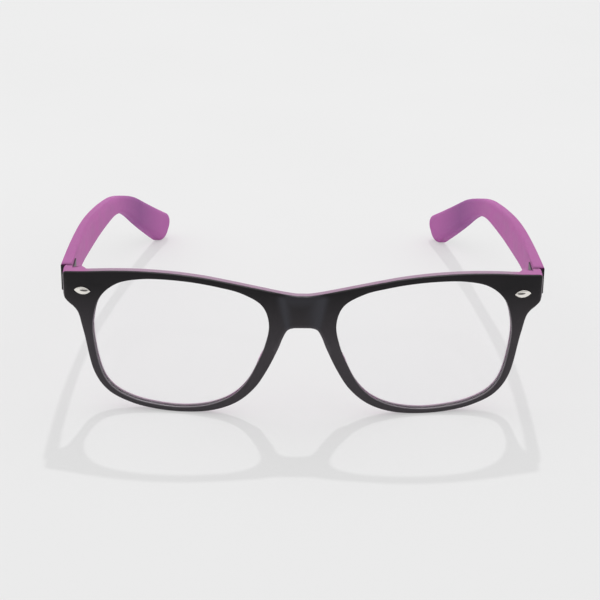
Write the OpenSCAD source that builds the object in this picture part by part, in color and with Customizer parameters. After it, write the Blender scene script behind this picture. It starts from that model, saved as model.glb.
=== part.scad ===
// Trapezoid eyeglasses with a two-shot front, two-shot temples, clear lenses and metal hinges.
// Millimetres. +Z is up, the front faces -Y, the temples run towards +Y and +X is the wearer's left.
// The glasses stand on the lower rims and on the two ear tips, with the origin under their middle.

/* [Lenses] */
// Width of one lens opening
lens_w = 53.8; // [50:0.2:57]
// Height of one lens opening
lens_h = 44.4; // [40:0.2:47]
// Thickness of the lens
lens_t = 1.6; // [1.2:0.1:1.8]
// Depth of the lens's front surface behind the face of the rim
lens_inset = 0.9; // [0.6:0.05:1.1]
// How far the lens edge enters its groove in the rim
groove_d = 0.5; // [0.3:0.05:0.7]
// Gap all round the lens in its groove
lens_clr = 0.05; // [0.02:0.01:0.1]

/* [Front] */
// Distance between the two lens openings at the bridge
bridge_w = 20.4; // [18:0.2:24]
// How far the front reaches past the lens opening at each end
end_w = 8.5; // [7.8:0.1:10]
// Width of the rim above the lens
rim_top = 2.0; // [1.8:0.1:4]
// Width of the rim below the lens
rim_bottom = 1.7; // [1.5:0.1:3.5]
// Width of the rim beside the nose
rim_nasal = 4.2; // [3.6:0.1:5]
// Width of the rim at the temple side
rim_temporal = 2.5; // [2:0.1:3.2]
// How far the brow line dips at the bridge
bridge_dip = 6.1; // [4:0.1:7.5]
// Height of the bridge at the middle
bridge_h = 10.7; // [8:0.1:12]
// Thickness of the outer shot
outer_t = 1.2; // [1.1:0.05:1.4]
// Thickness of the inner shot
inner_t = 2.2; // [2:0.1:3]
// Radius of the curve of the front, seen from above
wrap_r = 323; // [280:1:400]
// Lean of the front, lower edge towards the face, in degrees
front_tilt = 5; // [3:0.5:7]

/* [End pieces] */
// Height of the end piece and of the temple's butt
end_h = 8.6; // [8.4:0.1:10]
// How far the brow line falls from its top to the end piece
end_drop = 2.5; // [1.5:0.1:3]
// Width of the flat back face of the end block
block_w = 5.2; // [4.6:0.1:6]
// Width of the slope from the back of the rim to the end block
ramp_w = 1.4; // [1:0.1:3]
// Thickness of the end block at its outer end, across both shots
block_t = 5.5; // [5.2:0.1:7]

/* [Nose pads] */
// Length of each moulded nose pad
pad_l = 15; // [12:0.5:16]
// Height of the nose pad's middle above the lowest point of the rim
pad_z = 18.5; // [17:0.5:20]
// How far the pad stands behind the rim
pad_d = 4.6; // [3:0.1:6]
// Width of the pad's root
pad_w = 2.3; // [1.8:0.1:2.6]
// Angle by which the pad splays away from the nose
pad_splay = 18; // [10:1:22]

/* [Temples] */
// Straight length of the temple before the ear bend
temple_straight = 83.8; // [75:0.2:92]
// Radius of the ear bend along the middle of the temple
bend_r = 60.5; // [48:0.5:72]
// Angle of the ear bend, in degrees
bend_a = 27.8; // [22:0.5:34]
// Length of the ear tip after the bend
tip_l = 31.8; // [26:0.2:37]
// Height of the temple in the middle of its straight length
temple_mid_h = 10.6; // [9.6:0.1:12]
// Height of the temple where the ear bend begins
temple_bend_h = 6.1; // [5.6:0.1:8]
// Height of the temple at the ear tip
tip_h = 10.8; // [10:0.1:12.4]
// Radius of the ear tip's corners
tip_r = 4.6; // [3:0.1:4.9]
// Whole thickness of the temple
temple_t = 3.2; // [3:0.1:4]
// Thickness of the temple's outer shot
skin_t = 1.0; // [0.8:0.05:1.3]
// Width of the inner shot's border round the outer shot on the temple
skin_border = 0.5; // [0.3:0.05:0.8]
// How far the ear tip leans in from a straight temple
bow = 25; // [20:0.5:30]
// How far the temple's outer face stands outside the end piece
step_out = 1.0; // [0.8:0.1:1.6]
// Gap between the end block and the temple's butt
butt_gap = 0.3; // [0.2:0.05:0.5]

/* [Hinges] */
// Outer radius of the hinge barrels
barrel_r = 1.35; // [1.2:0.05:1.5]
// Height of one hinge barrel
barrel_h = 2.0; // [1.8:0.05:2.3]
// Gap between neighbouring barrels
barrel_gap = 0.06; // [0.04:0.01:0.1]
// Radius of the hinge screw's shank
screw_r = 0.6; // [0.5:0.05:0.7]
// Radial clearance of the screw in the barrels that turn on it or let it pass
screw_clr = 0.03; // [0.02:0.01:0.06]
// Clearance between a barrel and the mouldings around it
barrel_clr = 0.3; // [0.25:0.05:0.4]
// Length of the hinge plate in the temple
plate_l = 8.5; // [6:0.5:12]
// Height of the hinge plate in the temple
plate_h = 4.4; // [3:0.1:5]
// Thickness of the hinge plate in the temple
plate_t = 1.0; // [0.8:0.05:1.2]
// How far the hinge plate stands out of the temple's inner face
plate_proud = 0.4; // [0.3:0.05:0.5]

/* [Rivets] */
// Length of the rivet's pointed-oval head
rivet_l = 5.2; // [4:0.1:5.8]
// Height of the rivet's head, seen from the front
rivet_h = 2.6; // [2:0.1:3]
// How far the rivet's head stands out of the front
rivet_rise = 0.6; // [0.4:0.05:0.9]
// Depth of the seat that the rivet's head sits in
rivet_seat = 0.3; // [0.2:0.05:0.4]
// Radius of the rivet's pin
rivet_pin_r = 0.6; // [0.4:0.05:0.8]
// Distance of the rivet's middle from the end of the front
rivet_in = 6.0; // [5.2:0.1:6.4]
// Gap round the rivet in its seat and hole
rivet_clr = 0.02; // [0.01:0.01:0.05]

/* [Hidden] */
$fn = 64;
big_fn = 360;
LEFT = 1;
RIGHT = -1;
black_plastic = [0.17, 0.17, 0.18];
purple_plastic = [0.66, 0.40, 0.63];
bright_metal = [0.78, 0.78, 0.80];
clear_lens = [0.85, 0.90, 0.92, 0.35];

// The lens opening's shape: points as shares of half its width and half its height, counter-clockwise
// from the temple side over the top to the nose and back along the bottom.
lens_shape = [
  [1, 0.02], [0.985, 0.36], [0.896, 0.667], [0.703, 0.883], [0.442, 0.977], [0.164, 1], [-0.152, 0.982],
  [-0.442, 0.928], [-0.695, 0.847], [-0.922, 0.671], [-1, 0.378], [-0.955, 0.045], [-0.859, -0.27],
  [-0.74, -0.559], [-0.569, -0.784], [-0.327, -0.932], [-0.022, -1], [0.294, -0.986], [0.569, -0.919],
  [0.799, -0.766], [0.929, -0.495]
];
// Points of the lens shape between which the rim has its nose, bottom and temple widths
nose_i = 11;
bottom_i = 16;
bottom_end_i = 18;
temple_i = 21;
// The brow line: across as shares of the lens centre's distance, down as shares of the bridge's dip
brow_shape = [
  [0, 1], [0.06, 0.993], [0.16, 0.893], [0.32, 0.689], [0.485, 0.484], [0.65, 0.295], [0.81, 0.14],
  [1, 0.033], [1.186, 0], [1.375, 0.033]
];
// The nose arch beside the middle: across, and down from the bridge's lower edge
arch_shape = [[6, 3.8], [4.6, 1.2], [2.8, 0.2], [0, 0]];
// The brow line over the end piece: in from the end, down as shares of the end's drop
brow_end_shape = [[14.2, 0.34], [7.2, 0.72]];
// The lower edge of the end piece: in from the end, and down from the end's lower corner
end_shape = [[5.2, 10], [4.7, 7.5], [4.1, 5.7], [3, 4.2], [1.6, 3], [0.4, 1.6], [0, 0]];
// Steps of a curve between two of its points, and of the temple's faces along it
curve_steps = 4;
face_steps = 22;
// Longer than any piece, for shapes that reach right through the others
reach = 100;

// Small sizes of the end pieces: the corner's radius, the height of the lower corner above the lowest
// point, how far the temple's middle lies above the end piece's, and the rivet's below it
end_corner_r = 1.2;
end_low_rise = 1.2;
temple_lift = 0.15;
rivet_drop = 1.1;
// Height of the edge of the rivet's head at its points, and the material left behind the rivet's pin
rivet_edge = 0.12;
pin_wall = 1.1;

// The front's hinge half: its anchor in the end block, and the tabs that carry its barrels
anchor_d = 1.7;
anchor_t = 0.7;
anchor_w = 3.2;
tab_w = 1.1;
// The temple's hinge half: where its plate begins behind the butt, the width of its neck, and the room
// between the barrels' clearance and the temple's inner face
plate_in = 1.5;
neck_t = 1.1;
barrel_in = 0.6;
// The screw's head, sunk into the top barrel, and its slot
head_r = 1.0;
head_h = 0.5;
slot_w = 0.3;
slot_d = 0.25;

rim_t = outer_t + inner_t;
lens_cx = bridge_w / 2 + lens_w / 2;
lens_cz = rim_bottom + lens_h / 2;
half_w = bridge_w / 2 + lens_w + end_w;
brow_z = rim_bottom + lens_h + rim_top;
bridge_z = brow_z - bridge_dip;
end_top_z = brow_z - end_drop;
end_low_z = end_top_z - end_h + end_low_rise;
lens_turn = asin(lens_cx / wrap_r);

// How deep the front's face lies behind its middle at a distance from it, before it leans
function wrap_y(x) = wrap_r - sqrt(wrap_r * wrap_r - x * x);

// The front leans about its upper edge. Its lowest points are cut flat where they rest, and so are the
// ear tips, whose height still grows a little over their lower corners.
rest_flat = 0.07;
tip_flat = 0.15;
lean_y = brow_z * tan(front_tilt);
lean_z = -wrap_y(lens_cx) * sin(front_tilt) - rest_flat;

// Places of the end block's back face, the temple's butt and the hinge axis
block_y = lean_y + wrap_y(half_w) * cos(front_tilt) - end_top_z * sin(front_tilt) + block_t;
butt_y = block_y + butt_gap;
end_mid_z = lean_z + (end_top_z - end_h / 2) * cos(front_tilt) + wrap_y(half_w) * sin(front_tilt)
  + temple_lift;
outer_x = half_w + step_out;
inner_x = outer_x - temple_t;
hinge_x = inner_x - barrel_r - barrel_clr - barrel_in;
hinge_y = block_y + butt_gap / 2;
hinge_z = end_mid_z - temple_lift;
hinge_h = 3 * barrel_h + 2 * barrel_gap;
hinge_z0 = hinge_z - hinge_h / 2;
notch_y = hinge_y - barrel_r - barrel_clr;

// The temple's centre line is straight, then goes round the ear bend, then is straight to the tip
bend_l = bend_r * bend_a * PI / 180;
temple_l = temple_straight + bend_l + tip_l;
// Middle of one of the ear tip's rounded corners for a slope of the temple, as [y, z]
function tip_corner(slope, up) =
  let (a = slope + bend_a, end_l = tip_l - tip_r, out = up * (tip_h / 2 - tip_r))
  [
    butt_y + temple_straight * cos(slope) + bend_r * (sin(a) - sin(slope)) + end_l * cos(a) + out * sin(a),
    end_mid_z - temple_straight * sin(slope) - bend_r * (cos(slope) - cos(a)) - end_l * sin(a)
      + out * cos(a)
  ];
// The slope at which the ear tips reach the resting plane, found by halving
function find_slope(low, high, tries) =
  let (mid = (low + high) / 2)
  tries == 0 ? mid
  : tip_corner(mid, -1)[1] - tip_r > -tip_flat ? find_slope(mid, high, tries - 1)
  : find_slope(low, mid, tries - 1);
pitch = find_slope(-10, 30, 30);

// Middle of the whole depth, which lies over the origin
front_y = lean_y - bridge_z * sin(front_tilt);
back_y = tip_corner(pitch, 1)[0] + tip_r;
mid_y = (front_y + back_y) / 2;

// A smooth curve through points; a closed one joins its last point to its first
function catmull(a, b, c, d, t) =
  (2 * b + (c - a) * t + (2 * a - 5 * b + 4 * c - d) * t * t + (3 * b - a - 3 * c + d) * t * t * t) / 2;
function closed_curve(p) = [
  for (i = [0:len(p) - 1], k = [0:curve_steps - 1])
    catmull(p[(i + len(p) - 1) % len(p)], p[i], p[(i + 1) % len(p)], p[(i + 2) % len(p)], k / curve_steps)
];
function open_curve(p) = concat(
  [
    for (i = [0:len(p) - 2], k = [0:curve_steps - 1])
      catmull(
        i > 0 ? p[i - 1] : 2 * p[0] - p[1], p[i], p[i + 1],
        i < len(p) - 2 ? p[i + 2] : 2 * p[len(p) - 1] - p[len(p) - 2], k / curve_steps
      )
  ],
  [p[len(p) - 1]]
);
function flip(p) = [for (i = [len(p) - 1:-1:0]) p[i]];
function mirror_x(p) = [for (q = p) [-q[0], q[1]]];
function unit(v) = v / norm(v);
// Outward side of a counter-clockwise outline at point i
function side_of(p, i) =
  let (v = unit(p[(i + 1) % len(p)] - p[(i + len(p) - 1) % len(p)])) [v[1], -v[0]];
function grown(p, d) = [for (i = [0:len(p) - 1]) p[i] + d * side_of(p, i)];

// Outline of the lens opening about its own centre
lens_points = [for (q = lens_shape) [q[0] * lens_w / 2, q[1] * lens_h / 2]];
lens_outline = closed_curve(lens_points);

// Width of the rim at a point of the lens shape, from the nose round the bottom to the temple side
function rim_at(i) =
  i <= bottom_i ? rim_bottom + (rim_nasal - rim_bottom) * (bottom_i - i) / (bottom_i - nose_i)
  : i < bottom_end_i ? rim_bottom
  : rim_bottom + (rim_temporal - rim_bottom) * (i - bottom_end_i) / (temple_i - bottom_end_i);
lower_rim = [
  for (i = [nose_i:temple_i])
    let (k = i % len(lens_points))
      [lens_cx, lens_cz] + lens_points[k] + rim_at(i) * side_of(lens_points, k)
];
nose_arch = [for (q = flip(arch_shape)) [q[0], bridge_z - bridge_h - q[1]]];
end_edge = [for (q = end_shape) [half_w - q[0], end_low_z - q[1]]];
brow = concat(
  [for (q = brow_shape) [q[0] * lens_cx, brow_z - q[1] * bridge_dip]],
  [for (q = brow_end_shape) [half_w - q[0], brow_z - q[1] * end_drop]],
  [[half_w - end_corner_r, end_top_z]]
);
// From the middle of the nose arch along the bottom to the end, and back along the brow
lower_half = open_curve(concat(nose_arch, lower_rim, end_edge));
end_corner = [
  for (a = [0:30:90])
    [half_w - end_corner_r, end_top_z - end_corner_r] + end_corner_r * [cos(a), sin(a)]
];
upper_half = open_curve(brow);
half_outline = concat(
  lower_half,
  [for (i = [0:len(end_corner) - 2]) end_corner[i]],
  flip(upper_half)
);
front_outline = concat(
  half_outline,
  mirror_x(flip([for (i = [1:len(half_outline) - 2]) half_outline[i]]))
);

// The nose edge that a pad grows from, and the pad's root beside it
pad_points = [for (i = [nose_i:nose_i + 3]) lower_rim[i - nose_i]];
pad_edge = open_curve(pad_points);
function inner_side(p, i) = let (v = unit(p[min(i + 1, len(p) - 1)] - p[max(i - 1, 0)])) [-v[1], v[0]];
pad_root = concat(
  pad_edge,
  flip([for (i = [0:len(pad_edge) - 1]) pad_edge[i] + pad_w * inner_side(pad_edge, i)])
);

// Moves the whole model so that the origin lies under its middle
module place() {
  translate([0, -mid_y, 0]) children();
}

// Leans an upright front back onto its resting edge
module lean() {
  translate([0, lean_y, lean_z]) rotate([front_tilt, 0, 0]) children();
}

// An outline in the front view, extruded through the whole depth
module through(outline) {
  rotate([90, 0, 0]) linear_extrude(height = 2 * reach, center = true) polygon(outline);
}

// A curved sheet between two depths behind the front's face
module sheet(near, far) {
  translate([0, wrap_r, 0]) difference() {
    cylinder(r = wrap_r - near, h = 2 * reach, center = true, $fn = big_fn);
    cylinder(r = wrap_r - far, h = 3 * reach, center = true, $fn = big_fn);
  }
}

// The lens opening grown by a distance, cut square to the front at the lens's centre
module lens_prism(side, d) {
  translate([side * lens_cx, wrap_y(lens_cx), lens_cz])
    rotate([0, 0, side * lens_turn])
      rotate([90, 0, 0])
        linear_extrude(height = 2 * reach, center = true)
          polygon([for (q = grown(lens_outline, d)) [side * q[0], q[1]]]);
}

// Everything behind the face where the inner shot meets the outer one
module behind_outer() {
  translate([0, wrap_r, 0]) cylinder(r = wrap_r - outer_t, h = 2 * reach, center = true, $fn = big_fn);
}

module groove(side) {
  intersection() {
    lens_prism(side, groove_d + lens_clr);
    sheet(lens_inset - lens_clr, lens_inset + lens_t + lens_clr);
  }
}

// Cuts both lens openings and their grooves out of a layer of the front
module lens_cuts() {
  for (side = [LEFT, RIGHT]) {
    lens_prism(side, 0);
    groove(side);
  }
}

// Everything above the plane that the glasses rest on
module above_rest() {
  translate([-reach, -reach, 0]) cube([2 * reach, 2 * reach, reach]);
}

// Puts a rivet on the leaning front, with its own -Y pointing out of the face
module at_rivet(side) {
  rivet_x = half_w - rivet_in;
  rivet_z = end_top_z - end_h / 2 - rivet_drop;
  lean()
    translate([side * rivet_x, wrap_y(rivet_x), rivet_z])
      rotate([0, 0, side * asin(rivet_x / wrap_r)])
        children();
}

// The pointed oval: where two equal discs overlap
module pointed_oval(grow) {
  l = rivet_l + 2 * grow;
  h = rivet_h + 2 * grow;
  r = (l * l + h * h) / (4 * h);
  intersection_for(side = [-1, 1]) translate([0, side * (r - h / 2)]) circle(r = r, $fn = 128);
}

module rivet_body(grow, head) {
  pin_l = rim_t - rivet_seat - pin_wall;
  rotate([90, 0, 0]) {
    translate([0, 0, -rivet_seat]) linear_extrude(height = rivet_seat + head) pointed_oval(grow);
    translate([0, 0, -rivet_seat - pin_l]) cylinder(r = rivet_pin_r + grow, h = pin_l + rivet_seat / 2);
  }
}

// The rivet's head is crowned by one large sphere, which leaves a low upright edge at its two points
module rivet(side) {
  crown = rivet_rise - rivet_edge;
  crown_r = (rivet_l * rivet_l / 4 + crown * crown) / (2 * crown);
  color(bright_metal) place() at_rivet(side) intersection() {
    rivet_body(0, 2 * rivet_rise);
    translate([0, crown_r - rivet_rise, 0]) sphere(r = crown_r, $fn = 128);
  }
}

module rivet_holes() {
  for (side = [LEFT, RIGHT]) at_rivet(side) rivet_body(rivet_clr, rivet_rise);
}

module front_outer_layer() {
  color(black_plastic) place() difference() {
    intersection() {
      lean() difference() {
        intersection() {
          through(front_outline);
          sheet(0, outer_t);
        }
        lens_cuts();
      }
      above_rest();
    }
    rivet_holes();
  }
}

// The thick end of the inner shot, with a slope at its inner side and a notch for the hinge barrels
module end_block(side) {
  intersection() {
    lean() intersection() {
      through(front_outline);
      behind_outer();
    }
    mirror([side == RIGHT ? 1 : 0, 0, 0]) difference() {
      translate([0, 0, end_mid_z - end_h / 2])
        linear_extrude(height = 2 * end_h)
          polygon([
            [half_w - block_w - ramp_w, 0],
            [half_w + step_out, 0],
            [half_w + step_out, block_y],
            [half_w - block_w, block_y],
            [half_w - block_w - ramp_w, block_y - block_t + rim_t]
          ]);
      translate([0, notch_y, 0]) cube([hinge_x + barrel_r + barrel_clr, reach, reach]);
    }
  }
}

// One nose pad: a band behind the nose edge, splayed about its root and rounded off in the side view
module nose_pad(side) {
  pad_x = bridge_w / 2;
  bulge_r = (pad_l * pad_l / 4 + pad_d * pad_d) / (2 * pad_d);
  mirror([side == RIGHT ? 1 : 0, 0, 0]) intersection() {
    translate([pad_x, rim_t - inner_t / 2, 0])
      rotate([90, 0, -pad_splay])
        translate([-pad_x, 0, -2 * pad_d])
          linear_extrude(height = 2 * pad_d)
            polygon(pad_root);
    translate([0, rim_t + pad_d - bulge_r, pad_z])
      rotate([0, 90, 0])
        cylinder(r = bulge_r, h = reach, $fn = 128);
  }
}

module front_inner_layer() {
  color(purple_plastic) place() difference() {
    intersection() {
      union() {
        lean() difference() {
          union() {
            intersection() {
              through(front_outline);
              sheet(outer_t, rim_t);
            }
            intersection() {
              union() {
                nose_pad(LEFT);
                nose_pad(RIGHT);
              }
              behind_outer();
            }
          }
          lens_cuts();
        }
        end_block(LEFT);
        end_block(RIGHT);
      }
      above_rest();
    }
    rivet_holes();
    for (side = [LEFT, RIGHT]) mirror([side == RIGHT ? 1 : 0, 0, 0]) front_hinge_anchor();
  }
}

module lens(side) {
  color(clear_lens) place() lean() intersection() {
    lens_prism(side, groove_d);
    sheet(lens_inset, lens_inset + lens_t);
  }
}

// Underside of a barrel, counted from the lowest
function barrel_z(i) = hinge_z0 + i * (barrel_h + barrel_gap);

// The part of the front's hinge half that is moulded into the end block
module front_hinge_anchor() {
  translate([hinge_x - anchor_w / 2, notch_y - anchor_d, hinge_z0]) cube([anchor_w, anchor_t, hinge_h]);
  for (i = [0, 2])
    translate([hinge_x - tab_w / 2, notch_y - anchor_d, barrel_z(i)]) cube([tab_w, anchor_d, barrel_h]);
}

module front_hinge(side) {
  color(bright_metal) place() mirror([side == RIGHT ? 1 : 0, 0, 0]) difference() {
    union() {
      front_hinge_anchor();
      for (i = [0, 2]) {
        translate([hinge_x, hinge_y, barrel_z(i)]) cylinder(r = barrel_r, h = barrel_h);
        translate([hinge_x - tab_w / 2, notch_y - anchor_d, barrel_z(i)])
          cube([tab_w, anchor_d + barrel_clr + barrel_r / 2, barrel_h]);
      }
    }
    translate([hinge_x, hinge_y, 0]) cylinder(r = screw_r + screw_clr, h = reach);
    translate([hinge_x, hinge_y, hinge_z0 + hinge_h - head_h])
      cylinder(r = head_r + screw_clr, h = 2 * head_h);
  }
}

module hinge_screw(side) {
  color(bright_metal) place() mirror([side == RIGHT ? 1 : 0, 0, 0])
    translate([hinge_x, hinge_y, hinge_z0])
      difference() {
        union() {
          cylinder(r = screw_r, h = hinge_h);
          translate([0, 0, hinge_h - head_h]) cylinder(r = head_r, h = head_h);
        }
        translate([-head_r, -slot_w / 2, hinge_h - slot_d]) cube([2 * head_r, slot_w, 2 * slot_d]);
      }
}

// How far the temple's outer face leans in at a distance along it
function bow_at(u) = bow * (0.15 * pow(u / temple_l, 2) + 0.85 * pow(u / temple_l, 3));
function face_at(u) = [outer_x - bow_at(u), butt_y + u];
function face_side(u) = let (v = unit(face_at(u + 0.5) - face_at(u - 0.5))) [v[1], -v[0]];
function face_row(depth) = [
  for (i = [-1:face_steps + 1])
    let (u = temple_l * i / face_steps) face_at(u) - depth * face_side(u)
];

// The temple's side view, as height across its centre line
height_knots = [
  [0, end_h], [0.17, (end_h + 2 * temple_mid_h) / 3 - 0.2], [0.34, temple_mid_h],
  [0.5, (temple_mid_h + temple_bend_h) / 2 + 0.6], [0.67, temple_bend_h],
  [0.8, (temple_bend_h + tip_h) / 2 - 0.2], [1, tip_h]
];
height_curve = open_curve(height_knots);
function cut_corner(s) =
  let (past = max(0, s - temple_l + tip_r)) tip_r - sqrt(max(0, tip_r * tip_r - past * past));
function half_height(s) = lookup(s / temple_l, height_curve) / 2 - cut_corner(s);
function turn_at(s) = pitch + min(max(s - temple_straight, 0), bend_l) / bend_r * 180 / PI;
function line_at(s) =
  let (
    a = turn_at(s),
    first = min(s, temple_straight),
    last = max(s - temple_straight - bend_l, 0)
  )
  [
    butt_y + first * cos(pitch) + bend_r * (sin(a) - sin(pitch)) + last * cos(a),
    end_mid_z - first * sin(pitch) - bend_r * (cos(pitch) - cos(a)) - last * sin(a)
  ];
function edge_at(s, up) = line_at(s) + up * half_height(s) * [sin(turn_at(s)), cos(turn_at(s))];
station_l = temple_l - tip_r;
// The first station lies in front of the butt, where the temple is cut square
stations = concat(
  [for (i = [-1:36]) station_l * i / 36],
  [for (a = [9:9:90]) station_l + tip_r * sin(a)]
);
temple_side = concat(
  [for (s = stations) edge_at(s, -1)],
  flip([for (s = stations) edge_at(s, 1)])
);

// A layer of the temple between two depths behind its outer face, set in from its edges by a border
module temple_layer(near, far, border = 0) {
  intersection() {
    rotate([90, 0, 90]) linear_extrude(height = reach) polygon(grown(temple_side, -border));
    linear_extrude(height = reach) polygon(concat(face_row(near), flip(face_row(far))));
    translate([0, butt_y, 0]) cube([reach, 2 * reach, reach]);
  }
}

module hinge_plate() {
  translate([inner_x - plate_proud, butt_y + plate_in, hinge_z - plate_h / 2])
    cube([plate_t, plate_l, plate_h]);
}

module temple_core(side) {
  color(purple_plastic) place() mirror([side == RIGHT ? 1 : 0, 0, 0]) difference() {
    temple_layer(0, temple_t);
    temple_layer(-skin_t, skin_t, skin_border);
    hinge_plate();
  }
}

module temple_skin(side) {
  color(black_plastic) place() mirror([side == RIGHT ? 1 : 0, 0, 0])
    temple_layer(0, skin_t, skin_border);
}

module temple_hinge(side) {
  plate_mid_x = inner_x - plate_proud / 2;
  neck_y = butt_y + plate_in;
  color(bright_metal) place() mirror([side == RIGHT ? 1 : 0, 0, 0]) difference() {
    union() {
      hinge_plate();
      translate([0, 0, barrel_z(1)]) linear_extrude(height = barrel_h) polygon([
        [hinge_x, hinge_y + barrel_r * 2 / 3],
        [hinge_x + barrel_r * 3 / 4, hinge_y],
        [plate_mid_x, neck_y],
        [plate_mid_x, neck_y + neck_t]
      ]);
      translate([hinge_x, hinge_y, barrel_z(1)]) cylinder(r = barrel_r, h = barrel_h);
    }
    translate([hinge_x, hinge_y, 0]) cylinder(r = screw_r + screw_clr, h = reach);
  }
}

front_outer_layer();
front_inner_layer();
lens(LEFT);  // lens_left
lens(RIGHT);  // lens_right
rivet(LEFT);  // rivet_left
rivet(RIGHT);  // rivet_right
front_hinge(LEFT);  // front_hinge_left
front_hinge(RIGHT);  // front_hinge_right
hinge_screw(LEFT);  // hinge_screw_left
hinge_screw(RIGHT);  // hinge_screw_right
temple_core(LEFT);  // temple_core_left
temple_core(RIGHT);  // temple_core_right
temple_skin(LEFT);  // temple_skin_left
temple_skin(RIGHT);  // temple_skin_right
temple_hinge(LEFT);  // temple_hinge_left
temple_hinge(RIGHT);  // temple_hinge_right
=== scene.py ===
import math

import bmesh
import bpy
import numpy as np
from mathutils import Matrix, Vector
from mathutils.geometry import delaunay_2d_cdt


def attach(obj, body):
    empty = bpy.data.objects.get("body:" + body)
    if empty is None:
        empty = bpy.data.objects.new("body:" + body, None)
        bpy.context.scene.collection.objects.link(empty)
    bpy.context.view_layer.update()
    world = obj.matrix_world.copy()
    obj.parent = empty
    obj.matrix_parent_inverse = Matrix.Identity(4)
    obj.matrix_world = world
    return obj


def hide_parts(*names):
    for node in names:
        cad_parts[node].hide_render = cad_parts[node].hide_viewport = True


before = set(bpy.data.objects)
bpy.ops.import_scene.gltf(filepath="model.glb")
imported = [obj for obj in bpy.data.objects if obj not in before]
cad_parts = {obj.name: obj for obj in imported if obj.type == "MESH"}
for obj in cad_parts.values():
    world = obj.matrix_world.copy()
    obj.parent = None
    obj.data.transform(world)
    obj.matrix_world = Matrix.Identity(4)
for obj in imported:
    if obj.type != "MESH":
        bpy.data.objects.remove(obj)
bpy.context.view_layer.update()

# Sizes of the part, in millimetres, as in its source
MM = 0.001
SIDES = {"left": 1, "right": -1}
LENS_W = 53.8
LENS_H = 44.4
LENS_T = 1.6
LENS_INSET = 0.9
GROOVE_D = 0.5
LENS_CLR = 0.05
BRIDGE_W = 20.4
END_W = 8.5
RIM_TOP = 2.0
RIM_BOTTOM = 1.7
RIM_NASAL = 4.2
RIM_TEMPORAL = 2.5
BRIDGE_DIP = 6.1
BRIDGE_H = 10.7
OUTER_T = 1.2
INNER_T = 2.2
WRAP_R = 323
FRONT_TILT = math.radians(5)
END_H = 8.6
END_DROP = 2.5
BLOCK_W = 5.2
RAMP_W = 1.4
BLOCK_T = 5.5
PAD_L = 15
PAD_Z = 18.5
PAD_D = 4.6
PAD_SPLAY = math.radians(18)
TEMPLE_STRAIGHT = 83.8
BEND_R = 60.5
BEND_A = math.radians(27.8)
TIP_L = 31.8
TEMPLE_MID_H = 10.6
TEMPLE_BEND_H = 6.1
TIP_H = 10.8
TIP_R = 4.6
TEMPLE_T = 3.2
SKIN_T = 1.0
SKIN_BORDER = 0.5
BOW = 25
STEP_OUT = 1.0
BUTT_GAP = 0.3
BARREL_R = 1.35
BARREL_CLR = 0.3
BARREL_IN = 0.6
RIVET_L = 5.2
RIVET_H = 2.6
RIVET_RISE = 0.6
RIVET_SEAT = 0.3
RIVET_PIN_R = 0.6
RIVET_IN = 6.0
RIVET_DROP = 1.1
RIVET_CLR = 0.02
PIN_WALL = 1.1
END_CORNER_R = 1.2
END_LOW_RISE = 1.2
TEMPLE_LIFT = 0.15
REST_FLAT = 0.07
PITCH = math.radians(7.23517)
MID_Y = 76.1838

LENS_SHAPE = [
    (1, 0.02), (0.985, 0.36), (0.896, 0.667), (0.703, 0.883), (0.442, 0.977), (0.164, 1), (-0.152, 0.982),
    (-0.442, 0.928), (-0.695, 0.847), (-0.922, 0.671), (-1, 0.378), (-0.955, 0.045), (-0.859, -0.27),
    (-0.74, -0.559), (-0.569, -0.784), (-0.327, -0.932), (-0.022, -1), (0.294, -0.986), (0.569, -0.919),
    (0.799, -0.766), (0.929, -0.495),
]
NOSE_I = 11
BOTTOM_I = 16
BOTTOM_END_I = 18
TEMPLE_I = 21
BROW_SHAPE = [
    (0, 1), (0.06, 0.993), (0.16, 0.893), (0.32, 0.689), (0.485, 0.484), (0.65, 0.295), (0.81, 0.14),
    (1, 0.033), (1.186, 0), (1.375, 0.033),
]
ARCH_SHAPE = [(0, 0), (2.8, 0.2), (4.6, 1.2), (6, 3.8)]
BROW_END_SHAPE = [(14.2, 0.34), (7.2, 0.72)]
END_SHAPE = [(5.2, 10), (4.7, 7.5), (4.1, 5.7), (3, 4.2), (1.6, 3), (0.4, 1.6), (0, 0)]

RIM_T = OUTER_T + INNER_T
LENS_CX = BRIDGE_W / 2 + LENS_W / 2
LENS_CZ = RIM_BOTTOM + LENS_H / 2
HALF_W = BRIDGE_W / 2 + LENS_W + END_W
BROW_Z = RIM_BOTTOM + LENS_H + RIM_TOP
BRIDGE_Z = BROW_Z - BRIDGE_DIP
ARCH_Z = BRIDGE_Z - BRIDGE_H
END_TOP_Z = BROW_Z - END_DROP
END_LOW_Z = END_TOP_Z - END_H + END_LOW_RISE
LENS_TURN = math.asin(LENS_CX / WRAP_R)
OUTER_X = HALF_W + STEP_OUT
INNER_X = OUTER_X - TEMPLE_T
HINGE_X = INNER_X - BARREL_R - BARREL_CLR - BARREL_IN
NOTCH_X = HINGE_X + BARREL_R + BARREL_CLR


def sheet_y(x, depth):
    """Where a sheet at a depth behind the front's face lies, in the upright front."""
    return WRAP_R - np.sqrt((WRAP_R - depth) ** 2 - np.square(x))


def turned(side, x, y, z, middle_x, turn):
    """Places points of a plane that faces along the front's bend at middle_x, in the upright front."""
    along = middle_x + x * math.cos(turn) - y * math.sin(turn)
    back = sheet_y(middle_x, 0) + x * math.sin(turn) + y * math.cos(turn)
    return np.column_stack([side * along, back, z])


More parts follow.
